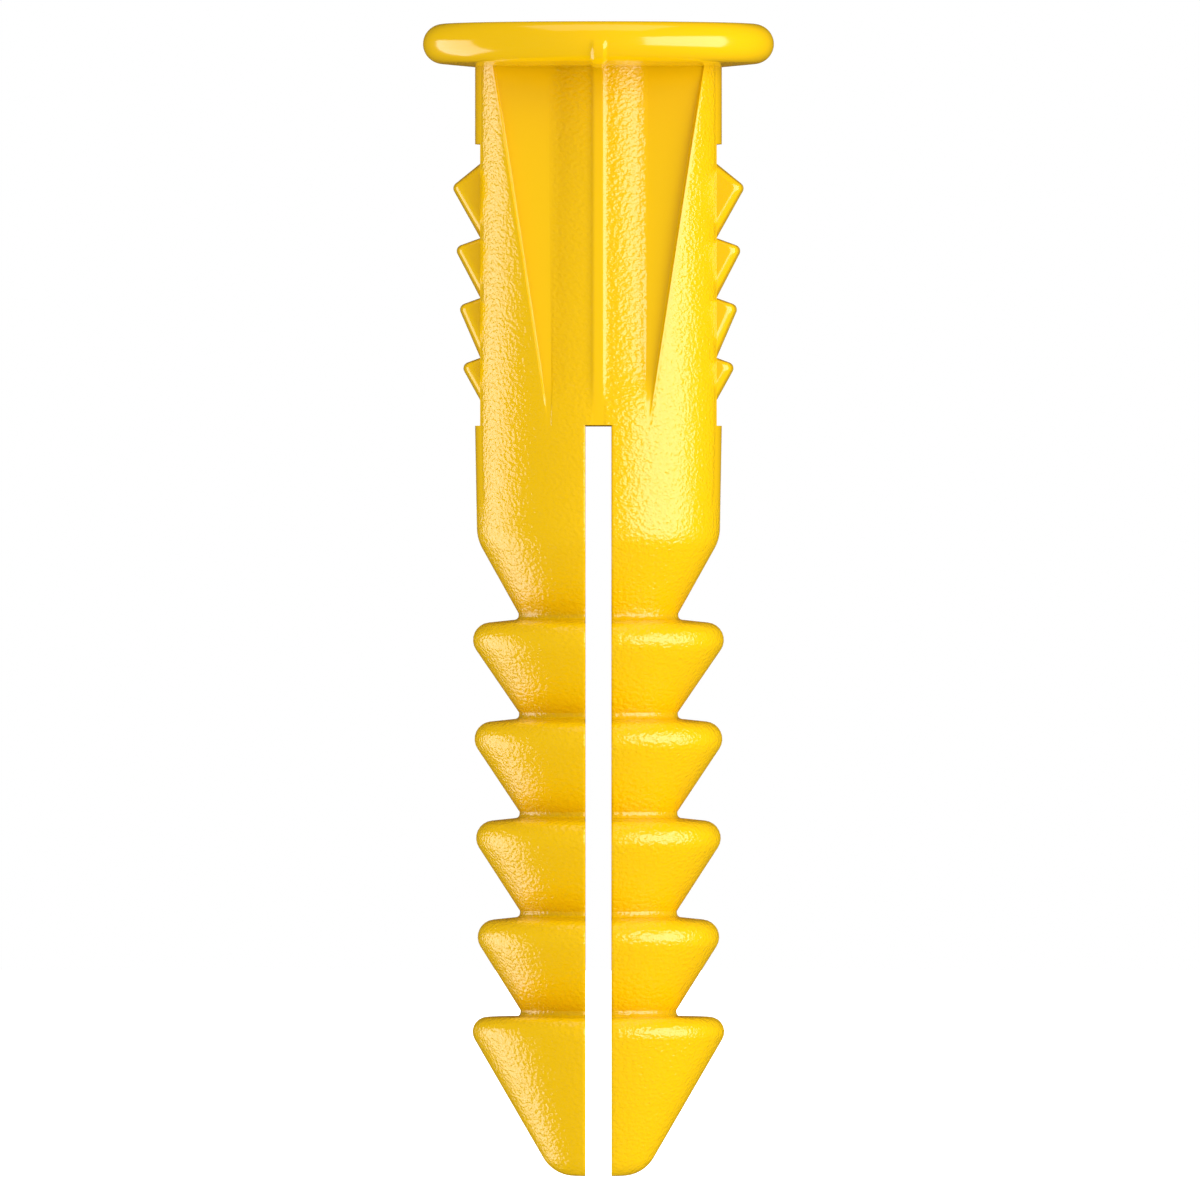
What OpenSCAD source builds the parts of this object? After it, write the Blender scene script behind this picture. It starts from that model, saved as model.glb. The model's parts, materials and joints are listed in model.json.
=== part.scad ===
// Ribbed plastic wall anchor for a 3/16 in hole, driven flush and spread by a No. 4 to No. 8 screw.
// Millimetres. The origin is on the screw's axis, in the plane of the wall that the head bears on.
// +Z points out of the wall, X runs across the slot from leg to leg, and -Y is the front.
// The real anchor is a single moulding. Its solids meet face to face, and are parted only where
// it bends, which is where each leg hangs from the sleeve.

/* [Shank] */
// Diameter of the sleeve and collars, which fill the drilled hole
shank_d = 4.76; // [4.2:0.01:5.8]
// Length below the wall's surface, from the head's underside to the tip
shank_len = 21.39; // [18:0.01:26]
// Height of the full round band under the head
collar_h = 1.49; // [1:0.01:2]
// Depth below the wall at which the slot begins and the legs part
slot_depth = 6.92; // [5.7:0.01:8.4]
// Width of the slot between the two legs
slot_w = 0.5; // [0.3:0.01:0.8]

/* [Head] */
// Diameter of the head over its rounded rim
head_d = 6.77; // [6:0.01:8.2]
// Thickness of the head on the axis
head_t = 0.83; // [0.6:0.01:1.1]
// Slope of the head's underside, in degrees
head_slope = 5.5; // [0:0.5:10]

/* [Screw hole] */
// Diameter of the screw hole through the head and sleeve
bore_d = 2.2; // [1.8:0.01:2.6]
// Diameter of the hole left between the legs at the tip
tip_bore_d = 0.8; // [0.6:0.01:0.88]
// Chamfer that leads a screw into the hole
lead_in = 0.3; // [0.1:0.01:0.5]

/* [Pockets] */
// Half width of each front and rear pocket at the head
pocket_top = 2.03; // [1.6:0.01:2.1]
// Half width of each pocket where it runs out at the slot
pocket_foot = 0.97; // [0.7:0.01:1.3]
// Distance of the pocket floor from the axis at the head
floor_top = 1.2; // [1:0.01:1.4]
// Radius of the tapered core at the head
core_top = 1.42; // [1.36:0.01:1.6]
// How far the core stays below the shank's surface at the slot
core_step = 0.08; // [0.02:0.01:0.2]
// How far the pocket floor stays below the shank's surface at the slot
floor_step = 0.26; // [0.15:0.01:0.4]
// Width of the mould-line ridge down the middle of each pocket
ridge_w = 0.17; // [0.1:0.01:0.3]
// Height of the ridge above the core
ridge_h = 0.04; // [0.02:0.01:0.05]

/* [Side ribs] */
// Number of teeth on each side rib
tooth_count = 4; // [2:1:5]
// Width of a side rib, from front to rear
rib_w = 1.36; // [1:0.01:1.8]
// How far the flat face of a rib lies inside the shank's surface
rib_sink = 0.15; // [0.1:0.01:0.25]
// Depth of a rib's seat in the sleeve, under the flat face
rib_seat = 0.1; // [0.05:0.01:0.15]
// How far the uppermost tooth stands out from the flat face
tooth_reach = 0.57; // [0.3:0.01:0.8]
// How much less each lower tooth stands out than the one above it
tooth_taper = 0.065; // [0:0.005:0.08]
// Height of the plain stretch of rib above the first tooth
tooth_start = 0.33; // [0.1:0.01:0.6]
// Height of the plain stretch of rib below the last tooth
tooth_end = 0.4; // [0.1:0.01:0.6]
// Height of the first tooth, as a multiple of the middle ones'
first_share = 1.28; // [1:0.01:1.5]
// Height of the last tooth, as a multiple of the middle ones'
last_share = 0.79; // [0.6:0.01:1]
// How far the roots between the teeth stand out from the flat face
root_lift = 0.05; // [0:0.01:0.08]
// Radius on the tips of the teeth
tooth_round = 0.12; // [0.03:0.01:0.15]
// Slope of the first tooth's top, in degrees below level
first_slope = 39; // [20:1:45]
// Slope of the other teeth's tops, in degrees below level
tooth_slope = 20; // [0:1:30]

/* [Legs] */
// How much smaller the lower collar is across at its foot than the shank
collar_taper = 0.07; // [0:0.01:0.3]
// Depth below the wall at which the lower collar's foot starts to round off
collar_foot = 8.88; // [8.6:0.01:9.3]
// Radius that rounds the lower collar's foot
collar_round = 0.84; // [0.1:0.01:1]
// Depth below the wall of the first barb
barb_start = 10.66; // [10.2:0.01:11.4]
// Number of barbs above the pointed tip
barb_count = 4; // [2:1:6]
// Diameter over the first barb
barb_d = 4.84; // [4.2:0.01:5.8]
// How much smaller the last barb is across than the first
barb_taper = 0.18; // [0:0.01:0.3]
// Diameter of the first neck between barbs
neck_d = 3.08; // [2.8:0.01:3.4]
// How much smaller the last neck is than the first
neck_taper = 0.07; // [0:0.01:0.2]
// Plain height of neck above each barb
neck_land = 0.12; // [0.02:0.01:0.2]
// Slope of the barbs' tops, in degrees below level
barb_slope = 6; // [0:0.5:10]
// Radius that rounds each barb's shoulder
barb_round = 0.34; // [0.1:0.01:0.4]

/* [Tip] */
// Length of the pointed tip
tip_len = 3.08; // [2.4:0.01:3.6]
// Diameter over the tip's upper edge
tip_d = 4.86; // [4.2:0.01:5.8]
// Diameter of the flat end
nose_d = 0.92; // [0.9:0.01:1.4]
// Radius between the flat end and the tip's cone
nose_round = 0.7; // [0.3:0.01:0.8]
// Radius on the tip's upper edge
tip_edge = 0.29; // [0.04:0.01:0.35]

/* [Flexure] */
// Angle by which each leg can close the slot, in degrees
close_angle = 0.9; // [0.2:0.1:1]

/* [Hidden] */
$fn = 96;
shank_r = shank_d / 2;
far = 2 * (shank_len + head_d);
rib_face = shank_r - rib_sink;
rib_h = slot_depth - collar_h;
tooth_pitch = (rib_h - tooth_start - tooth_end) / (tooth_count - 2 + first_share + last_share);
floor_foot = shank_r - floor_step;
floor_tilt = atan((floor_foot - floor_top) / slot_depth);
tip_start = shank_len - tip_len;
barb_pitch = (tip_start - barb_start) / barb_count;
// Angle left over when the slot has closed
relief_room = 0.15;
relief = close_angle + relief_room;
// How far a cutter or a blank runs past the face that it trims or that trims it
spare = 0.5;
arc_steps = 6;

// Points on a round corner of radius r about (x, z), from angle a0 to a1
function arc(x, z, r, a0, a1, steps = arc_steps) =
    [for (i = [0 : steps]) let (a = a0 + (a1 - a0) * i / steps) [x + r * cos(a), z + r * sin(a)]];

// Angle at which a round corner of radius r about (x, z) runs out on the line to (px, pz) below it
function runout(x, z, r, px, pz) =
    let (dx = px - x, dz = pz - z, gap = sqrt(dx * dx + dz * dz)) atan2(dz, dx) + acos(r / gap);

// A sloping top out to a round shoulder, then a cone in to the next neck.
// top is the depth at which the top leaves the neck, next the depth of what follows.
function barb(top, crest_r, neck_r, next_neck_r, next, edge, slope) =
    let (cx = crest_r - edge,
         cz = -top - (cx + edge * sin(slope) - neck_r) * tan(slope) - edge * cos(slope),
         foot = -next + neck_land)
    concat([[neck_r, -top]],
           arc(cx, cz, edge, 90 - slope, runout(cx, cz, edge, next_neck_r, foot)),
           [[next_neck_r, foot]]);

function barb_top(i) = barb_start + i * barb_pitch;
function barb_r(i) = (barb_d - barb_taper * i / max(1, barb_count - 1)) / 2;
function neck_r(i) = (neck_d - neck_taper * i / max(1, barb_count)) / 2;

// The sloping point: a cone that touches both its round upper edge and the round end
function tip_outline() =
    let (nx = nose_d / 2, nz = -shank_len + nose_round,
         cx = tip_d / 2 - tip_edge, cz = -tip_start - tip_edge,
         gap = sqrt(pow(cx - nx, 2) + pow(cz - nz, 2)),
         lean = acos((nose_round - tip_edge) / gap) - atan2(cz - nz, cx - nx))
    concat([[neck_r(barb_count), -tip_start]],
           arc(cx, cz, tip_edge, 90, -lean),
           arc(nx, nz, nose_round, -lean, -90),
           [[0, -shank_len]]);

// The outline of both legs together, to the tip from a little above the slot's root
function leg_outline() =
    let (cx = shank_r - collar_taper / 2 - collar_round)
    concat([[0, spare - slot_depth], [shank_r, spare - slot_depth], [shank_r, -slot_depth]],
           arc(cx, -collar_foot, collar_round, 0,
               runout(cx, -collar_foot, collar_round, neck_r(0), -barb_start + neck_land)),
           [[neck_r(0), -barb_start + neck_land]],
           [for (i = [0 : barb_count - 1])
               each barb(barb_top(i), barb_r(i), neck_r(i), neck_r(i + 1), barb_top(i + 1),
                         barb_round, barb_slope)],
           tip_outline());

// Depth below the wall of the upper root of tooth i, which counts from the head
function tooth_top(i) = collar_h + tooth_start + (i == 0 ? 0 : (first_share + i - 1) * tooth_pitch);

// One tooth of a side rib: its upper root, round tip and the start of its straight underside
function tooth(i) =
    let (z = -tooth_top(i), last = i == tooth_count - 1,
         root = rib_face + (i == 0 ? 0 : root_lift),
         reach = rib_face + tooth_reach - i * tooth_taper,
         slope = i == 0 ? first_slope : tooth_slope,
         cx = reach - tooth_round,
         cz = z - (cx + tooth_round * sin(slope) - root) * tan(slope) - tooth_round * cos(slope),
         foot = last ? tooth_end - slot_depth : -tooth_top(i + 1))
    concat([[root, z]],
           arc(cx, cz, tooth_round, 90 - slope,
               runout(cx, cz, tooth_round, rib_face + (last ? 0 : root_lift), foot)));

module screw_hole() {
    translate([0, 0, -slot_depth - spare])
        cylinder(d = bore_d, h = slot_depth + head_t + 2 * spare);
}

// The head's rim is fully round: it touches both the flat top and the sloping underside
module flange() {
    rim_round = (head_t - (head_d / 2 - shank_r) * tan(head_slope))
                / (1 + 1 / cos(head_slope) - tan(head_slope));
    color("gold")
        difference() {
            rotate_extrude()
                polygon(concat([[0, 0], [shank_r, 0]],
                               arc(head_d / 2 - rim_round, head_t - rim_round, rim_round,
                                   -90 + head_slope, 90, 2 * arc_steps),
                               [[0, head_t]]));
            screw_hole();
            translate([0, 0, head_t - lead_in])
                cylinder(d1 = bore_d, d2 = bore_d + 4 * lead_in, h = 2 * lead_in);
        }
}

// The space cut away on one side of the sleeve: a tapered opening down to a sloping floor
module pocket() {
    intersection() {
        rotate([90, 0, 0])
            linear_extrude(far)
                polygon([[-pocket_top, 0], [pocket_top, 0],
                         [pocket_foot, -slot_depth], [-pocket_foot, -slot_depth]]);
        translate([0, -floor_top, 0])
            rotate([-floor_tilt, 0, 0])
                translate([-far / 2, -far, -far / 2])
                    cube(far);
    }
}

// A solid cone that thickens towards the slot, grown by extra
module core(extra = 0) {
    translate([0, 0, -slot_depth])
        cylinder(r1 = shank_r - core_step + extra, r2 = core_top + extra, h = slot_depth);
}

module ridge() {
    intersection() {
        core(ridge_h);
        translate([-ridge_w / 2, -shank_r, -slot_depth])
            cube([ridge_w, shank_d, slot_depth]);
    }
}

module rib_space() {
    translate([rib_face - rib_seat, -rib_w / 2, -slot_depth])
        cube([shank_r, rib_w, rib_h]);
}

module sleeve() {
    color("gold")
        difference() {
            union() {
                difference() {
                    translate([0, 0, -slot_depth])
                        cylinder(d = shank_d, h = slot_depth);
                    pocket();
                    mirror([0, 1, 0])
                        pocket();
                }
                core();
                ridge();
            }
            screw_hole();
            rib_space();
            mirror([1, 0, 0])
                rib_space();
        }
}

module rib() {
    rotate([90, 0, 0])
        translate([0, 0, -rib_w / 2])
            linear_extrude(rib_w)
                polygon(concat([[rib_face - rib_seat, -collar_h], [rib_face, -collar_h]],
                               [for (i = [0 : tooth_count - 1]) each tooth(i)],
                               [[rib_face, -slot_depth + tooth_end],
                                [rib_face, -slot_depth], [rib_face - rib_seat, -slot_depth]]));
}

module right_rib() {
    color("goldenrod")
        rib();
}

module left_rib() {
    color("goldenrod")
        mirror([1, 0, 0])
            rib();
}

// The leg on the +X side. Its top face falls away from the outer skin, where it bends, so that
// it can swing in until the slot is closed.
module leg() {
    difference() {
        rotate_extrude()
            polygon(leg_outline());
        translate([slot_w / 2 - far, -far / 2, -far / 2])
            cube(far);
        rotate_extrude()
            polygon([[0, -shank_len - spare], [tip_bore_d / 2, -shank_len - spare],
                     [tip_bore_d / 2, -shank_len], [bore_d / 2, -slot_depth],
                     [bore_d / 2, 2 * spare - slot_depth], [0, 2 * spare - slot_depth]]);
        translate([shank_r, 0, -slot_depth])
            rotate([0, -relief, 0])
                translate([-far / 2, -far / 2, 0])
                    cube(far);
    }
}

module right_leg() {
    color("gold")
        leg();
}

module left_leg() {
    color("gold")
        mirror([1, 0, 0])
            leg();
}

flange();
sleeve();
left_rib();
right_rib();
left_leg();
right_leg();
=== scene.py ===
"""A ribbed plastic wall anchor, moulded in yellow polyethylene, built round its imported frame.

Lengths are in metres and places are in the frame's own axes: +Z out of the wall along the screw's
axis, X across the slot from leg to leg, and -Y the front.
"""

import json
import math

import bpy
import numpy as np
from bpy.props import FloatProperty, FloatVectorProperty, IntProperty, PointerProperty
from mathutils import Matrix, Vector


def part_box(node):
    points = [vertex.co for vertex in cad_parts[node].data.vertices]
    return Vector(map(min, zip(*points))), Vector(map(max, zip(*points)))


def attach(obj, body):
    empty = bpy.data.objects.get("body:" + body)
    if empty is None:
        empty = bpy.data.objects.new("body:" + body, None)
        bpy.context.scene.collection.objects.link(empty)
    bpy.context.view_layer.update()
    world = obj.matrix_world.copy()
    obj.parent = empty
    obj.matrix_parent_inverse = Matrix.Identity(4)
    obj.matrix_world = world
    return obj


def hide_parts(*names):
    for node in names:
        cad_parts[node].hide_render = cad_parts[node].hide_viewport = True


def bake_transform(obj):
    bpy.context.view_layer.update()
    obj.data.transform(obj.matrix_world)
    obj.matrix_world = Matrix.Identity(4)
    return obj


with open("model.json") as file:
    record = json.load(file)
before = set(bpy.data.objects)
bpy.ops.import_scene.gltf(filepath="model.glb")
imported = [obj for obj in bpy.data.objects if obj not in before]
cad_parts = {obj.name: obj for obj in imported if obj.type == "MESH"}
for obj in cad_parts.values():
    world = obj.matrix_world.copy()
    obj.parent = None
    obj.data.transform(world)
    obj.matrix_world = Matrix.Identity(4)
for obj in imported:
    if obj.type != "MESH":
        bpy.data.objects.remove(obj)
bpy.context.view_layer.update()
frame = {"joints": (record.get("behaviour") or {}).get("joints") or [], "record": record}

bl_info = {
    "name": "Ribbed wall anchor",
    "version": (1, 0, 0),
    "blender": (4, 5, 0),
    "location": "View3D > Sidebar > Wall anchor",
    "description": "Builds a moulded wall anchor and the studio that it stands in",
    "category": "Add Mesh",
}

MM = 0.001
MOUNTS = {m["name"]: m for m in frame["record"]["mounts"]}
SHANK_R = MOUNTS["wall_hole"]["dims"]["r_mm"] * MM
BORE_R = MOUNTS["screw_hole"]["dims"]["r_mm"] * MM
SLOT_ROOT = -frame["joints"][0]["pos_m"][2]
SLOT_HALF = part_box("right_leg")[0].x
HEAD_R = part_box("flange")[1].x
HEAD_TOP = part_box("flange")[1].z
SHANK_LEN = -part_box("right_leg")[0].z
RIB_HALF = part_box("right_rib")[1].y
RIB_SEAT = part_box("right_rib")[0].x
COLLAR_H = -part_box("right_rib")[1].z
# Edges that turn by more than this are shaded as sharp
SHARP_ANGLE = math.radians(32)
# Each softbox's azimuth and elevation in degrees, and its width and height in mm
SOFTBOXES = {"key": (62, 4, 245, 180), "rim": (-113, -15, 160, 190), "top": (0, 88, 160, 160)}


def length(name, description, value):
    """A length property, given in millimetres and kept in metres."""
    return FloatProperty(name=name, description=description, default=value * MM,
                         subtype="DISTANCE", unit="LENGTH", precision=5)


def slope(name, description, value):
    """An angle property, given in degrees and kept in radians."""
    return FloatProperty(name=name, description=description, default=math.radians(value),
                         subtype="ANGLE", unit="ROTATION")


def linear(code):
    """The linear colour of an sRGB hex code such as FFC400."""
    srgb = np.array([int(code[i:i + 2], 16) for i in (0, 2, 4)]) / 255
    return tuple(np.where(srgb <= 0.04045, srgb / 12.92, ((srgb + 0.055) / 1.055) ** 2.4))


def colour(name, description, code):
    """A colour property from an sRGB hex code."""
    return FloatVectorProperty(name=name, description=description, default=linear(code),
                               subtype="COLOR", size=3, min=0, max=1)


class HeadSizes(bpy.types.PropertyGroup):
    """Sizes of the round head."""
    underside: slope("Underside", "Slope of the head's underside above level", 5.5)
    lead_in: length("Lead-in", "Chamfer that leads a screw into the hole", 0.3)


class SleeveSizes(bpy.types.PropertyGroup):
    """Sizes of the sleeve's pockets, core and mould line."""
    pocket_top: length("Pocket half width, top", "Half width of a pocket at the head", 2.03)
    pocket_foot: length("Pocket half width, foot", "Half width of a pocket at the slot", 0.97)
    floor_top: length("Floor, top", "Distance of the pocket's floor from the axis at the head", 1.2)
    floor_step: length("Floor step", "Depth of the pocket's floor below the surface at the slot", 0.26)
    core_top: length("Core, top", "Radius of the core at the head", 1.42)
    core_step: length("Core step", "Depth of the core below the surface at the slot", 0.08)
    fillet: length("Pocket fillet", "Width of the hollow that climbs from floor to edge", 0.06)
    crest: length("Edge rounding", "Width over which the pocket's edge is rounded", 0.05)
    runout: length("Run-out", "Height over which pocket and core rise into the collar", 1.1)
    ridge_half: length("Mould line half width", "Half width of the mould line's crest", 0.085)
    ridge_foot: length("Mould line foot", "Half width of the mould line's foot", 0.165)
    ridge_h: length("Mould line height", "Height of the mould line", 0.06)


class RibSizes(bpy.types.PropertyGroup):
    """Sizes of the toothed side ribs."""
    face: length("Face", "Distance of a rib's flat face from the axis", 2.23)
    reach: length("Reach", "How far the first tooth stands out from the face", 0.57)
    reach_step: length("Reach step", "How much less each lower tooth stands out", 0.065)
    start: length("Plain start", "Plain height above the first tooth", 0.33)
    end: length("Plain end", "Plain height below the last tooth", 0.4)
    first_share: FloatProperty(name="First share", default=1.28,
                               description="Height of the first tooth over the middle ones'")
    last_share: FloatProperty(name="Last share", default=0.79,
                              description="Height of the last tooth over the middle ones'")
    root_lift: length("Root lift", "How far the roots between teeth stand out from the face", 0.05)
    tip_round: length("Tip rounding", "Radius on the teeth's tips", 0.12)
    side_round: length("Side rounding", "Radius along the teeth's front and rear edges", 0.15)
    first_slope: slope("First slope", "Slope of the first tooth's top below level", 39)
    slope: slope("Slope", "Slope of the other teeth's tops below level", 20)
    count: IntProperty(name="Teeth", description="Teeth on each rib", default=4, min=1)


class LegSizes(bpy.types.PropertyGroup):
    """Sizes of the barbed legs."""
    collar_r: length("Collar radius", "Radius of the lower collar at its foot", 2.345)
    collar_foot: length("Collar foot", "Depth at which the lower collar starts to round off", 8.88)
    collar_round: length("Collar rounding", "Radius that rounds the lower collar's foot", 0.84)
    barb_start: length("First barb", "Depth of the first barb's top", 10.66)
    barb_r: length("Barb radius", "Radius of the first barb", 2.42)
    barb_step: length("Barb step", "How much smaller the last barb's radius is", 0.09)
    neck_r: length("Neck radius", "Radius of the first neck", 1.54)
    neck_step: length("Neck step", "How much smaller the last neck's radius is", 0.035)
    neck_land: length("Neck land", "Plain height of neck above each barb", 0.12)
    neck_round: length("Neck rounding", "Radius of the hollow between a neck and a barb's top", 0.08)
    shoulder: length("Shoulder", "Radius of the barbs' shoulders", 0.34)
    top_slope: slope("Top slope", "Slope of the barbs' tops below level", 6)
    tip_start: length("Tip start", "Depth of the tip's upper edge", 18.31)
    tip_r: length("Tip radius", "Radius over the tip's upper edge", 2.43)
    tip_edge: length("Tip edge", "Radius on the tip's upper edge", 0.29)
    tip_slope: slope("Tip top slope", "Slope of the tip's top below level", 0.8)
    nose_half: length("Nose half width", "Half width of the flat end", 0.46)
    nose_round: length("Nose rounding", "Radius between the flat end and the tip's cone", 0.7)
    tip_bore: length("Tip bore radius", "Radius of the hole between the legs at the tip", 0.4)
    slot_edge: length("Slot edge", "Radius along the slot's edges", 0.04)
    bend_end: length("Bend end", "Depth below which a leg swings without bending", 9.3)
    count: IntProperty(name="Barbs", description="Barbs above the tip", default=4, min=1)


class FinishSettings(bpy.types.PropertyGroup):
    """Colours and texture of the moulding."""
    plastic: colour("Plastic", "Colour of the polyethylene", "F3C100")
    pebble: length("Pebble size", "Spacing of the textured surface's pebbles", 0.085)
    pebble_h: length("Pebble height", "Height of the pebbles", 0.027)
    squash: FloatProperty(name="Pebble squash", default=1.33,
                          description="Width of a pebble over its height along the axis")
    roughness: FloatProperty(name="Roughness", description="Roughness between the pebbles",
                             default=0.14, min=0, max=1)
    ripple: length("Ripple spacing", "Distance from wave to wave of the sink ripple", 1.5)
    ripple_h: length("Ripple height", "Height of the sink ripple", 0.004)
    flow: length("Flow spacing", "Distance over which the pigment's shade varies", 2)
    band: length("Polished band", "Half width of the polished band along each side", 0.74)
    band_edge: length("Band edge", "Width over which the texture sets in beside the band", 0.12)
    band_foot: length("Band foot", "Depth at which the polished band starts to end", 8.2)
    band_fade: length("Band fade", "Height over which the polished band ends", 0.4)


class StudioSettings(bpy.types.PropertyGroup):
    """The lights, floor and camera."""
    width: length("Field width", "Width that the camera takes in", 23.15)
    distance: length("Camera distance", "Distance from the camera to the axis", 600)
    offset: length("Camera offset", "How far to the right of the axis the camera stands", 0.03)
    away: length("Softbox distance", "Distance from a softbox to the middle of the anchor", 200)
    key: FloatProperty(name="Key", description="Radiance of the right softbox", default=2.5)
    rim: FloatProperty(name="Rim", description="Radiance of the left softbox", default=1.8)
    top: FloatProperty(name="Top", description="Radiance of the overhead softbox", default=0.65)
    fill: FloatProperty(name="Fill", description="Radiance of the room", default=0.94)
    glint: FloatProperty(name="Glint", description="Radiance of the room in reflections",
                         default=0.02)
    floor: colour("Floor", "Colour of the floor", "F4F4F2")
    floor_glow: FloatProperty(name="Floor glow", default=0.95,
                              description="Radiance of the light that comes through the floor")
    floor_r: length("Floor radius", "Radius of the floor's disc", 350)
    floor_gap: length("Floor gap", "Gap between the anchor's tip and the floor", 0.2)


def smooth_step(t):
    """0 below 0, 1 above 1, and 3t^2 - 2t^3 between."""
    t = np.clip(t, 0, 1)
    return t * t * (3 - 2 * t)


def smooth_min(a, b, width):
    """The lesser of a and b, with a parabola over the corner where they differ by under width."""
    share = np.clip(0.5 + 0.5 * (b - a) / width, 0, 1)
    return b + (a - b) * share - width * share * (1 - share)


def arc(x, z, radius, start, end, count=9):
    """Points x + r cos(a), z + r sin(a), with a going evenly from start to end in radians."""
    a = np.linspace(start, end, count)
    return np.stack([x + radius * np.cos(a), z + radius * np.sin(a)], 1)


def runout(x, z, radius, px, pz):
    """Angle at which a round corner runs out on its tangent to (px, pz), which lies below it:
    the direction of that point plus the arc cosine of radius over distance."""
    return math.atan2(pz - z, px - x) + math.acos(radius / math.hypot(px - x, pz - z))


def spread(breaks, counts):
    """Columns that run evenly between breaks, a list of arrays with one value per row.
    Stretch k goes in counts[k] equal steps, and leaves out its last point."""
    parts = [a[:, None] + (b - a)[:, None] * np.arange(n)[None] / n
             for a, b, n in zip(breaks, breaks[1:], counts)]
    return np.concatenate(parts, 1)


def make_piece(name, grid, pebble, wrap_rows=False):
    """A closed mesh from a grid of points (row, column, xyz) whose columns wrap round.

    The rows wrap round as well, or end in a flat face each. pebble is the share of surface
    texture at each point. The signed volume, a sum of triple products, says which way is out.
    """
    rows, cols = grid.shape[:2]
    index = np.arange(rows * cols).reshape(rows, cols)
    below = np.roll(index, -1, 0) if wrap_rows else index[1:]
    here = index if wrap_rows else index[:-1]
    quads = np.stack([here, np.roll(here, -1, 1), np.roll(below, -1, 1), below], -1).reshape(-1, 4)
    points = grid.reshape(-1, 3)
    a, b, c, d = (points[quads[:, k]] for k in range(4))
    volume = np.einsum("ij,ij->", a, np.cross(b, c)) + np.einsum("ij,ij->", a, np.cross(c, d))
    faces = quads.tolist()
    if not wrap_rows:
        ends = [index[0][::-1], index[-1]]
        faces += [end.tolist() for end in ends]
        for end in ends:
            fan = points[end]
            volume += np.einsum("ij,ij->", np.tile(fan[0], (len(end) - 2, 1)),
                                np.cross(fan[1:-1], fan[2:]))
    if volume < 0:
        faces = [face[::-1] for face in faces]
    mesh = bpy.data.meshes.new(name)
    mesh.from_pydata(points.tolist(), [], faces)
    mesh.polygons.foreach_set("use_smooth", np.ones(len(mesh.polygons), bool))
    mesh.set_sharp_from_angle(angle=SHARP_ANGLE)
    layer = mesh.attributes.new("pebble", "FLOAT", "POINT")
    layer.data.foreach_set("value", np.asarray(pebble, np.float32).ravel())
    if mesh.validate():
        raise RuntimeError(f"{name} held faces that had to be mended")
    mesh.update()
    piece = bpy.data.objects.new(name, mesh)
    bpy.context.scene.collection.objects.link(piece)
    mesh.materials.append(moulded_polyethylene())
    return piece


def add_node(tree, kind, settings=None, **links):
    """Adds a node. settings holds its attributes, and links sets or joins its inputs by name."""
    node = tree.nodes.new(kind)
    for key, value in (settings or {}).items():
        setattr(node, key, value)
    for key, value in links.items():
        socket = node.inputs[key.replace("_", " ")]
        if isinstance(value, bpy.types.NodeSocket):
            tree.links.new(value, socket)
        else:
            socket.default_value = value
    return node


def moulded_polyethylene():
    """Moulded polyethylene. The tool's spark-eroded faces give it pebbles of under 0.1 mm that
    break a highlight into sparkles, and its polished faces are smooth with a faint sink ripple."""
    made = bpy.data.materials.get("moulded polyethylene")
    if made:
        return made
    s = bpy.context.scene.anchor_finish
    mat = bpy.data.materials.new("moulded polyethylene")
    mat.use_nodes = True
    tree = mat.node_tree
    tree.nodes.clear()
    place = add_node(tree, "ShaderNodeTexCoord").outputs["Object"]
    mask = add_node(tree, "ShaderNodeAttribute", {"attribute_name": "pebble"}).outputs["Fac"]
    squat = add_node(tree, "ShaderNodeMapping", Vector=place, Scale=(1, 1, s.squash))
    grain = add_node(tree, "ShaderNodeTexNoise", Vector=squat.outputs["Vector"],
                     Scale=1 / s.pebble, Detail=1.5, Roughness=0.45)
    pebbled = add_node(tree, "ShaderNodeMath", {"operation": "MULTIPLY"})
    tree.links.new(grain.outputs["Fac"], pebbled.inputs[0])
    tree.links.new(mask, pebbled.inputs[1])
    ripple = add_node(tree, "ShaderNodeTexNoise", Vector=place, Scale=1 / s.ripple, Detail=0)
    low = add_node(tree, "ShaderNodeBump", Height=ripple.outputs["Fac"], Strength=1,
                   Distance=s.ripple_h)
    bump = add_node(tree, "ShaderNodeBump", Height=pebbled.outputs[0], Strength=1,
                    Distance=s.pebble_h, Normal=low.outputs["Normal"])
    # Flow shade: the pigment varies by a hundredth or two
    thin, thick = 0.975, 1.02
    flow = add_node(tree, "ShaderNodeTexNoise", Vector=place, Scale=1 / s.flow, Detail=2)
    tint = add_node(tree, "ShaderNodeMapRange", Value=flow.outputs["Fac"], To_Min=thin,
                    To_Max=thick)
    shade = add_node(tree, "ShaderNodeVectorMath", {"operation": "SCALE"})
    shade.inputs[0].default_value = tuple(s.plastic)
    tree.links.new(tint.outputs["Result"], shade.inputs["Scale"])
    shader = add_node(tree, "ShaderNodeBsdfPrincipled", Base_Color=shade.outputs[0],
                      Roughness=s.roughness, Specular_IOR_Level=1, Normal=bump.outputs["Normal"])
    out = add_node(tree, "ShaderNodeOutputMaterial")
    tree.links.new(shader.outputs["BSDF"], out.inputs["Surface"])
    return mat


def ridge_lift(x, s):
    """Height of the mould line at x: full over its crest, and eased to nothing at its foot."""
    return s.ridge_h * smooth_step((s.ridge_foot - np.abs(x)) / (s.ridge_foot - s.ridge_half))


def off_band(y, finish):
    """Share of texture at y: none on the polished band along each side, and full past its edge."""
    return smooth_step((np.abs(y) - finish.band) / finish.band_edge)


def pocket_lines(z, s):
    """The core's radius, the floor's distance from the axis and the pocket's half width at height
    z. Each goes in a straight line from the head to the slot's root."""
    down = -z / SLOT_ROOT
    core = s.core_top + (SHANK_R - s.core_step - s.core_top) * down
    floor = s.floor_top + (SHANK_R - s.floor_step - s.floor_top) * down
    edge = s.pocket_top + (s.pocket_foot - s.pocket_top) * down
    return core, floor, edge


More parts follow.
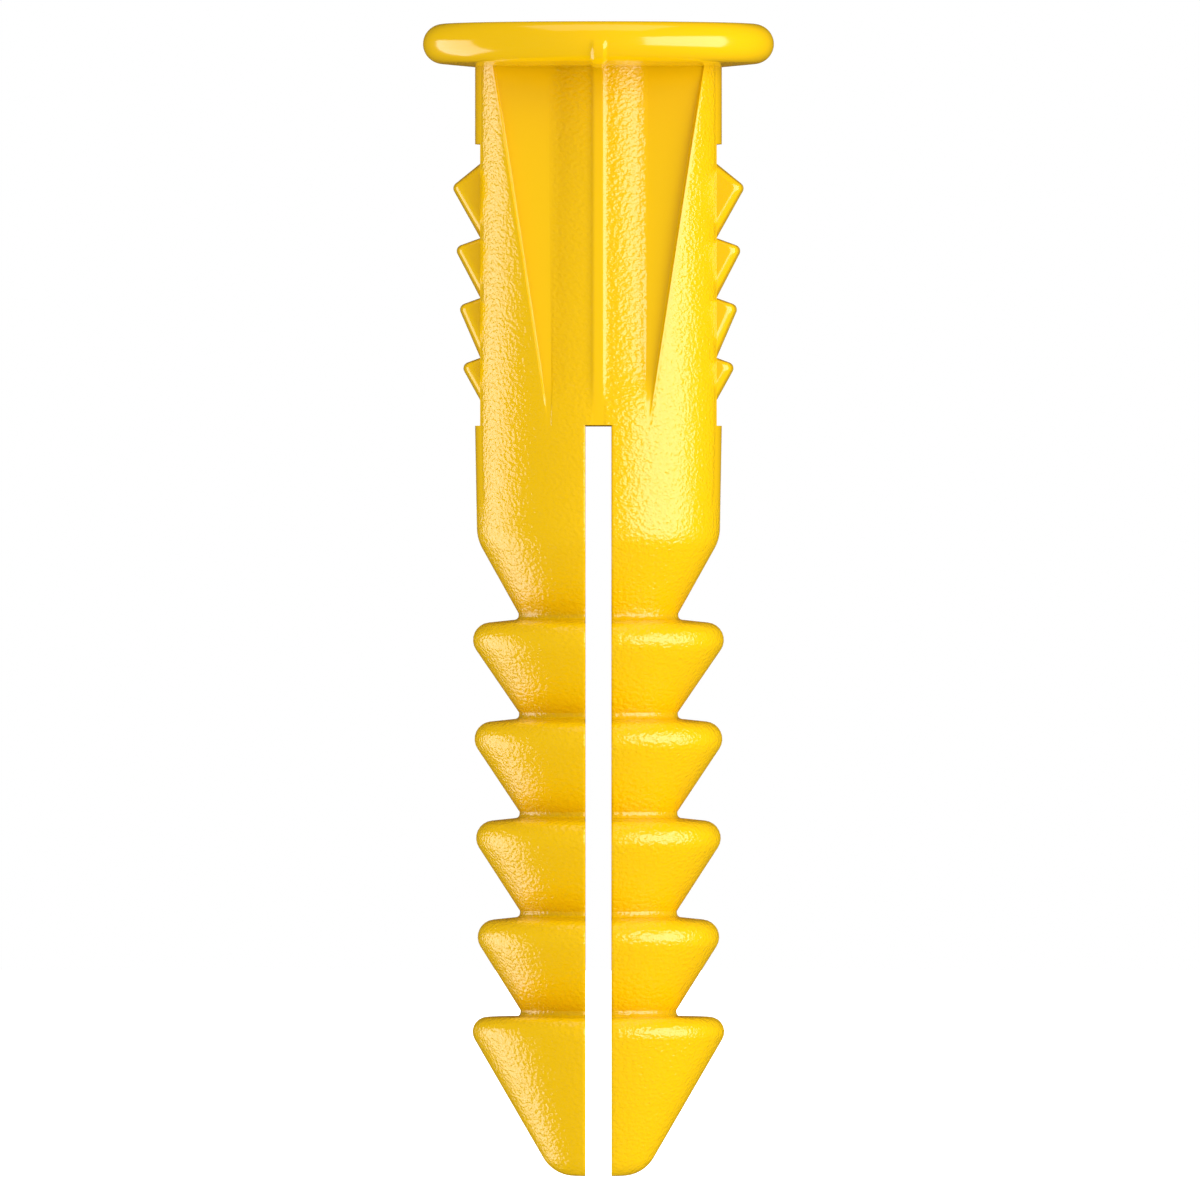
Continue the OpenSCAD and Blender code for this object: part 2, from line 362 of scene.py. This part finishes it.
def front_depth(x, z, s):
    """Distance of the sleeve's front surface from the XZ plane at x and z.

    The pocket is the farther out of a tapered round core and a flat sloping floor. A fourth-power
    climb takes the floor up to the edge, and the pocket meets the round wing there in a small
    rounded crest. Near the slot all of it is eased out to the wing.
    """
    core, floor, edge = pocket_lines(z, s)
    crease_round = 0.02 * MM
    # The climb is 1 at the edge, and goes on a little so that it crosses the wing
    climb_end = 1.3
    wing = np.sqrt(SHANK_R ** 2 - x ** 2)
    curved = np.sqrt(np.maximum(core ** 2 - x ** 2, 0))
    pocket = -smooth_min(-curved, -floor, crease_round) + ridge_lift(x, s)
    climb = np.clip((x - edge + s.fillet) / s.fillet, 0, climb_end) ** 4
    pocket = pocket + (np.sqrt(SHANK_R ** 2 - edge ** 2) - floor) * climb
    depth = smooth_min(wing, pocket, s.crest)
    eased = smooth_step((-z - SLOT_ROOT + s.runout) / s.runout)
    return depth + (wing - depth) * eased


class ANCHOR_OT_head(bpy.types.Operator):
    """Adds the round head, with the screw's lead-in and the mould line over its lower rim"""
    bl_idname = "anchor.head"
    bl_label = "Head"

    def execute(self, context):
        """The section, a closed line of (radius, height), is turned about Z. The rim is one arc
        that touches the top and the underside, and the mould line lifts it along its normal."""
        s, line = context.scene.anchor_head, context.scene.anchor_sleeve
        rise = math.tan(s.underside)
        rim = (HEAD_TOP - (HEAD_R - SHANK_R) * rise) / (1 + 1 / math.cos(s.underside) - rise)
        equator, start = HEAD_TOP - rim, s.underside - math.pi / 2
        edge = arc(HEAD_R - rim, equator, rim, start, math.pi / 2, 29)
        # A tiny bevel breaks the edge of the screw hole's mouth
        bevel_w, bevel_h = 0.04 * MM, 0.02 * MM
        mouth = BORE_R + s.lead_in
        under = np.linspace([SHANK_R, 0], edge[0], 6)[:-1]
        lip = [[mouth + bevel_w, HEAD_TOP], [mouth, HEAD_TOP - bevel_h],
               [BORE_R, HEAD_TOP - s.lead_in]]
        radius, height = np.concatenate([[[BORE_R, 0]], under, edge, lip]).T
        normal = np.concatenate([[0], np.full(len(under), start),
                                 np.linspace(start, math.pi / 2, len(edge)), np.zeros(len(lip))])
        # The mould line starts this far above the equator and takes this height to be full
        above, ease = 0.05 * MM, 0.15 * MM
        lifted = (radius >= SHANK_R) * smooth_step((equator + above - height) / ease)
        # Columns crowd towards the front and rear, where the mould line is
        crowding = 0.4
        u = np.linspace(0, 1, 97)[:-1]
        half_turn = math.pi * u - crowding * np.sin(2 * math.pi * u)
        turn = np.concatenate([half_turn, math.pi + half_turn])
        x, y = np.sin(turn), -np.cos(turn)
        lift = lifted[:, None] * ridge_lift(radius[:, None] * x, line)
        r = radius[:, None] + lift * np.cos(normal)[:, None]
        z = height[:, None] + lift * np.sin(normal)[:, None]
        grid = np.stack([r * x, r * y, z], -1)
        piece = make_piece("head", grid, np.zeros(grid.shape[:2]), wrap_rows=True)
        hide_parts("flange")
        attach(piece, "sleeve")
        return {"FINISHED"}


class ANCHOR_OT_sleeve(bpy.types.Operator):
    """Adds the sleeve, with its two tapered pockets, core, mould lines and side recesses"""
    bl_idname = "anchor.sleeve"
    bl_label = "Sleeve"

    def execute(self, context):
        """Each row is a quarter outline, the front depth over x and then the wing's arc and half
        of the side recess, mirrored twice into a loop. The rows run down the outside and up the
        bore."""
        s, finish = context.scene.anchor_sleeve, context.scene.anchor_finish
        # The recess's shelf and side walls are out of true by these small amounts
        shelf, sheer = 0.003 * MM, 0.004 * MM
        # Columns gather this near to the pocket's edge, and groups of them keep this far apart
        gather, apart = 0.07 * MM, 0.02 * MM
        # Widths over which the texture sets in on the core and on the wings
        core_fade, wing_fade = 0.03 * MM, 0.08 * MM
        z = -np.concatenate([np.linspace(0, COLLAR_H - shelf, 9),
                             np.linspace(COLLAR_H + shelf, SLOT_ROOT - s.runout, 26)[:-1],
                             np.linspace(SLOT_ROOT - s.runout, SLOT_ROOT, 11)])
        one = np.ones_like(z)
        core, floor, edge = pocket_lines(z, s)
        crease = np.sqrt(core ** 2 - floor ** 2)
        hollow = np.maximum(edge - s.fillet, crease + apart)
        near, past = np.maximum(edge - gather, hollow + apart), edge + gather
        x = spread([0 * one, s.ridge_half * one, s.ridge_foot * one, crease, hollow, near, past],
                   [3, 5, 8, 6, 8, 12])
        y = -front_depth(x, z[:, None], s)
        side = math.asin(RIB_HALF / SHANK_R)
        start = np.arcsin(past / SHANK_R)
        turn = start[:, None] + (math.pi / 2 - side - start)[:, None] * np.linspace(0, 1, 24)[None]
        x = np.concatenate([x, SHANK_R * np.sin(turn)], 1)
        y = np.concatenate([y, -SHANK_R * np.cos(turn)], 1)
        flat = -np.linspace(RIB_HALF - sheer, 0, 6)[None] * one[:, None]
        cut = (-z > COLLAR_H)[:, None]
        x = np.concatenate([x, np.where(cut, RIB_SEAT, np.sqrt(SHANK_R ** 2 - flat ** 2))], 1)
        y = np.concatenate([y, flat], 1)
        half_x = np.concatenate([x, x[:, -2::-1]], 1)
        half_y = np.concatenate([y, -y[:, -2::-1]], 1)
        loop_x = np.concatenate([half_x, -half_x[:, -2:0:-1]], 1)
        loop_y = np.concatenate([half_y, half_y[:, -2:0:-1]], 1)
        outer = np.stack([loop_x, loop_y, np.broadcast_to(z[:, None], loop_x.shape)], -1)
        around = np.linspace(0, 2 * math.pi, outer.shape[1], endpoint=False)
        bore = np.stack([np.stack([BORE_R * np.sin(around), -BORE_R * np.cos(around),
                                   np.full_like(around, level)], -1) for level in (z[-1], z[0])])
        grid = np.concatenate([outer, bore])
        # The core and the wings are textured, and the mould line and the pockets' floors are not
        px = np.abs(grid[..., 0])
        core_side, wing_side = (np.concatenate([line, [0, 0]])[:, None] for line in (crease, edge))
        on_core = 1 - smooth_step((px - core_side) / core_fade)
        on_core = on_core * smooth_step((px - s.ridge_half) / (s.ridge_foot - s.ridge_half))
        on_wing = smooth_step((px - wing_side) / wing_fade) * off_band(grid[..., 1], finish)
        piece = make_piece("tapered_sleeve", grid, np.maximum(on_core, on_wing), wrap_rows=True)
        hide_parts("sleeve")
        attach(piece, "sleeve")
        return {"FINISHED"}


def rib_outline(s):
    """Outline (distance from the axis, height) of a rib's outer side: flats and teeth, each tooth
    a sloping top, a round tip and a straight underside."""
    pitch = ((SLOT_ROOT - COLLAR_H - s.start - s.end)
             / (s.count - 2 + s.first_share + s.last_share))
    roots = [-COLLAR_H - s.start]
    roots += [roots[0] - (s.first_share + i) * pitch for i in range(s.count - 1)]
    roots += [-SLOT_ROOT + s.end]
    faces = [s.face] + [s.face + s.root_lift] * (s.count - 1) + [s.face]
    parts = [[[s.face, -COLLAR_H]]]
    for i in range(s.count):
        root, foot = [faces[i], roots[i]], [faces[i + 1], roots[i + 1]]
        lean = s.first_slope if i == 0 else s.slope
        cx = s.face + s.reach - i * s.reach_step - s.tip_round
        cz = (root[1] - (cx + s.tip_round * math.sin(lean) - root[0]) * math.tan(lean)
              - s.tip_round * math.cos(lean))
        tip = arc(cx, cz, s.tip_round, math.pi / 2 - lean,
                  runout(cx, cz, s.tip_round, *foot))
        parts += [[root], np.linspace(root, tip[0], 7)[1:-1], tip,
                  np.linspace(tip[-1], foot, 14)[1:-1]]
    parts += [[[s.face, -SLOT_ROOT + s.end]], [[s.face, -SLOT_ROOT]]]
    return np.concatenate([np.asarray(p, float) for p in parts])


class ANCHOR_OT_ribs(bpy.types.Operator):
    """Adds the two toothed ribs on the sleeve's sides"""
    bl_idname = "anchor.ribs"
    bl_label = "Toothed ribs"

    def execute(self, context):
        """The outline is carried across Y. At y its reach is sqrt(r^2 - y^2), which makes the
        teeth parts of cones, less the rounding of the front and rear edges."""
        s = context.scene.anchor_ribs
        outline = rib_outline(s)
        u = np.linspace(-1, 1, 31)
        y = RIB_HALF * np.sin(u * math.pi / 2)
        past = np.maximum(np.abs(y) - RIB_HALF + s.side_round, 0)
        inset = s.side_round - np.sqrt(np.maximum(s.side_round ** 2 - past ** 2, 0))
        reach = np.sqrt(outline[None, :, 0] ** 2 - y[:, None] ** 2) - inset[:, None]
        x = np.maximum(reach, s.face)
        z = np.broadcast_to(outline[None, :, 1], x.shape)
        back = np.array([[RIB_SEAT, -SLOT_ROOT], [RIB_SEAT, -COLLAR_H]])
        x = np.concatenate([x, np.broadcast_to(back[:, 0], (len(y), 2))], 1)
        z = np.concatenate([z, np.broadcast_to(back[:, 1], (len(y), 2))], 1)
        for side, name in ((-1, "left"), (1, "right")):
            grid = np.stack([side * x, np.broadcast_to(y[:, None], x.shape), z], -1)
            piece = make_piece(f"{name}_teeth", grid, np.zeros(x.shape))
            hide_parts(f"{name}_rib")
            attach(piece, "sleeve")
        return {"FINISHED"}


def leg_outline(s):
    """Outline (radius, height) of both legs together, from the slot's root to the flat end."""
    pitch = (s.tip_start - s.barb_start) / s.count
    # The nose's arc stops just short of level, where the flat end closes the leg
    nose_end = math.radians(-88)

    def neck(i):
        """Radius of neck i."""
        return s.neck_r - s.neck_step * i / s.count

    def taper(cx, cz, edge, start, i, top):
        """A round edge from start, and its tangent cone in to neck i, just above depth top."""
        foot = [neck(i), -top + s.neck_land]
        edge_arc = arc(cx, cz, edge, start, runout(cx, cz, edge, *foot))
        return [edge_arc, np.linspace(edge_arc[-1], foot, 9)[1:]]

    def rise(i, top, lean, cx, edge):
        """The hollow at neck i and the sloping top; returns them and the round edge's centre."""
        hollow = arc(neck(i) + s.neck_round, -top + s.neck_round, s.neck_round,
                     math.pi, 1.5 * math.pi - lean, 5)
        cz = (hollow[-1, 1] - (cx + edge * math.sin(lean) - hollow[-1, 0]) * math.tan(lean)
              - edge * math.cos(lean))
        return hollow, cz

    collar_x = s.collar_r - s.collar_round
    collar_z = -s.collar_foot
    parts = [np.linspace([SHANK_R, -SLOT_ROOT], [s.collar_r, collar_z], 16)[:-1]]
    parts += taper(collar_x, collar_z, s.collar_round, 0, 0, s.barb_start)
    for i in range(s.count):
        top = s.barb_start + i * pitch
        cx = s.barb_r - s.barb_step * i / max(1, s.count - 1) - s.shoulder
        hollow, cz = rise(i, top, s.top_slope, cx, s.shoulder)
        parts += [hollow] + taper(cx, cz, s.shoulder, math.pi / 2 - s.top_slope, i + 1, top + pitch)
    cx = s.tip_r - s.tip_edge
    hollow, cz = rise(s.count, s.tip_start, s.tip_slope, cx, s.tip_edge)
    nz = -SHANK_LEN + s.nose_round
    lean = (math.acos((s.nose_round - s.tip_edge) / math.hypot(cx - s.nose_half, cz - nz))
            - math.atan2(cz - nz, cx - s.nose_half))
    parts += [hollow, arc(cx, cz, s.tip_edge, math.pi / 2 - s.tip_slope, -lean, 8),
              arc(s.nose_half, nz, s.nose_round, -lean, nose_end, 12)]
    return np.concatenate(parts)


class ANCHOR_OT_legs(bpy.types.Operator):
    """Adds the two barbed legs, which start at the slot's root"""
    bl_idname = "anchor.legs"
    bl_label = "Barbed legs"

    def execute(self, context):
        """Each row is one level's section: the outer arc, a small round corner at each slot
        edge, the slot's flat faces and the bore's arc."""
        s, finish = context.scene.anchor_legs, context.scene.anchor_finish
        radius, z = leg_outline(s).T
        down = np.clip((-z - SLOT_ROOT) / (SHANK_LEN - SLOT_ROOT), 0, 1)
        bore = BORE_R + (s.tip_bore - BORE_R) * down
        cx = SLOT_HALF + s.slot_edge
        cy = np.sqrt((radius - s.slot_edge) ** 2 - cx ** 2)
        corner = np.arctan2(cy, cx)
        turn = corner[:, None] * np.linspace(-1, 1, 121)[None]
        x, y = [radius[:, None] * np.cos(turn)], [radius[:, None] * np.sin(turn)]
        bend = corner[:, None] + (math.pi - corner)[:, None] * np.linspace(0, 1, 7)[None, 1:]
        fx, fy = cx + s.slot_edge * np.cos(bend), cy[:, None] + s.slot_edge * np.sin(bend)
        inner = np.sqrt(bore ** 2 - SLOT_HALF ** 2)
        walk = np.linspace(0, 1, 6)[None, 1:-1]
        wall = cy[:, None] + (inner - cy)[:, None] * walk
        hole = np.arctan2(inner, SLOT_HALF)[:, None] * np.linspace(1, -1, 41)[None]
        x += [fx, np.full_like(wall, SLOT_HALF), bore[:, None] * np.cos(hole),
              np.full_like(wall, SLOT_HALF), fx[:, ::-1]]
        y += [fy, wall, bore[:, None] * np.sin(hole), -wall[:, ::-1], -fy[:, ::-1]]
        x, y = np.concatenate(x, 1), np.concatenate(y, 1)
        level = np.broadcast_to(z[:, None], x.shape)
        outside = np.hypot(x, y) > radius[:, None] - 2 * s.slot_edge
        below_band = smooth_step((-level - finish.band_foot) / finish.band_fade)
        textured = outside * np.maximum(off_band(y, finish), below_band)
        for side, name in ((-1, "left"), (1, "right")):
            grid = np.stack([side * x, y, level], -1)
            piece = make_piece(f"{name}_barbed_leg", grid, textured)
            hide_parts(f"{name}_leg")
            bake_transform(piece)
        return {"FINISHED"}


def add_softbox(name, azimuth, elevation, width, height, radiance):
    """A rectangular light that faces the middle of the anchor. azimuth is counted from the
    camera's side to the right, and elevation from level, both in degrees. A light's power is
    pi x area x radiance."""
    middle, away = Vector((0, 0, -SHANK_LEN / 2)), bpy.context.scene.anchor_studio.away
    light = bpy.data.lights.new(name, "AREA")
    light.shape = "RECTANGLE"
    light.size, light.size_y = width, height
    light.energy = math.pi * width * height * radiance
    lamp = bpy.data.objects.new(name, light)
    a, e = math.radians(azimuth), math.radians(elevation)
    side = Vector((math.sin(a) * math.cos(e), -math.cos(a) * math.cos(e), math.sin(e)))
    lamp.location = middle + side * away
    lamp.rotation_euler = (-side).to_track_quat("-Z", "Y").to_euler()
    lamp.visible_camera = False
    bpy.context.scene.collection.objects.link(lamp)


def pale_room(fill, glint):
    """The room: white to the camera, an even fill of that radiance for the matt surfaces, and
    dark cloth, of radiance glint, in reflections."""
    world = bpy.data.worlds.new("pale room")
    world.use_nodes = True
    tree = world.node_tree
    tree.nodes.clear()
    ray = add_node(tree, "ShaderNodeLightPath")
    lit = add_node(tree, "ShaderNodeMapRange", Value=ray.outputs["Is Glossy Ray"], To_Min=fill,
                   To_Max=glint)
    level = add_node(tree, "ShaderNodeMapRange", Value=ray.outputs["Is Camera Ray"],
                     To_Min=lit.outputs["Result"], To_Max=1.0)
    back = add_node(tree, "ShaderNodeBackground", Color=(1, 1, 1, 1),
                    Strength=level.outputs["Result"])
    out = add_node(tree, "ShaderNodeOutputWorld")
    tree.links.new(back.outputs[0], out.inputs["Surface"])
    bpy.context.scene.world = world


def painted_floor(tint, glow):
    """Matt white paint, which has no gloss, on a floor lit from below nearly to full white."""
    mat = bpy.data.materials.new("matt floor paint")
    mat.use_nodes = True
    shader = mat.node_tree.nodes["Principled BSDF"]
    shader.inputs["Base Color"].default_value = (*tint, 1)
    shader.inputs["Roughness"].default_value = 1
    shader.inputs["Specular IOR Level"].default_value = 0
    shader.inputs["Emission Color"].default_value = (1, 1, 1, 1)
    shader.inputs["Emission Strength"].default_value = glow
    return mat


class ANCHOR_OT_studio(bpy.types.Operator):
    """Adds the floor, the softboxes, the room and the camera"""
    bl_idname = "anchor.studio"
    bl_label = "Studio"

    def execute(self, context):
        """The floor is a disc just under the tip, and the camera looks level along +Y."""
        scene, s = context.scene, context.scene.anchor_studio
        a = np.linspace(0, 2 * math.pi, 64, endpoint=False)
        ring = np.stack([s.floor_r * np.cos(a), s.floor_r * np.sin(a),
                         np.full_like(a, -SHANK_LEN - s.floor_gap)], 1)
        mesh = bpy.data.meshes.new("floor")
        mesh.from_pydata(ring.tolist(), [], [list(range(len(a)))])
        mesh.materials.append(painted_floor(s.floor, s.floor_glow))
        floor = bpy.data.objects.new("floor", mesh)
        scene.collection.objects.link(floor)
        # The softboxes reach below the floor's level, as through a glass table
        floor.visible_shadow = floor.visible_glossy = floor.visible_diffuse = False
        for name, (azimuth, elevation, width, height) in SOFTBOXES.items():
            add_softbox(f"{name}_softbox", azimuth, elevation, width * MM, height * MM,
                        getattr(s, name))
        pale_room(s.fill, s.glint)
        lens = bpy.data.cameras.new("camera")
        lens.sensor_width = 36
        lens.lens = lens.sensor_width * s.distance / s.width
        lens.clip_start, lens.clip_end = 0.01, 10
        camera = bpy.data.objects.new("camera", lens)
        camera.location = (s.offset, -s.distance, (HEAD_TOP - SHANK_LEN) / 2)
        camera.rotation_euler = (math.pi / 2, 0, 0)
        scene.collection.objects.link(camera)
        scene.camera = camera
        scene.view_settings.view_transform = "Standard"
        return {"FINISHED"}


class ANCHOR_PT_panel(bpy.types.Panel):
    """Lists the anchor's pieces in the sidebar"""
    bl_idname = "ANCHOR_PT_panel"
    bl_label = "Wall anchor"
    bl_space_type = "VIEW_3D"
    bl_region_type = "UI"
    bl_category = "Wall anchor"

    def draw(self, context):
        """One row per operator, then each group of sizes."""
        for operator in OPERATORS:
            self.layout.operator(operator.bl_idname)
        for name, group in GROUPS.items():
            box = self.layout.box()
            box.label(text=name.replace("anchor_", "").capitalize())
            for key in group.__annotations__:
                box.prop(getattr(context.scene, name), key)


GROUPS = {"anchor_head": HeadSizes, "anchor_sleeve": SleeveSizes, "anchor_ribs": RibSizes,
          "anchor_legs": LegSizes, "anchor_finish": FinishSettings, "anchor_studio": StudioSettings}
OPERATORS = (ANCHOR_OT_head, ANCHOR_OT_sleeve, ANCHOR_OT_ribs, ANCHOR_OT_legs, ANCHOR_OT_studio)


def register():
    """Registers the classes and hangs each group of sizes on the scene."""
    for cls in (*GROUPS.values(), *OPERATORS, ANCHOR_PT_panel):
        bpy.utils.register_class(cls)
    for name, group in GROUPS.items():
        setattr(bpy.types.Scene, name, PointerProperty(type=group))


def unregister():
    """Takes off what register put on."""
    for name in GROUPS:
        delattr(bpy.types.Scene, name)
    for cls in reversed((*GROUPS.values(), *OPERATORS, ANCHOR_PT_panel)):
        bpy.utils.unregister_class(cls)


def main():
    register()
    bpy.ops.anchor.head()
    bpy.ops.anchor.sleeve()
    bpy.ops.anchor.ribs()
    bpy.ops.anchor.legs()
    bpy.ops.anchor.studio()


if __name__ == "__main__":
    main()
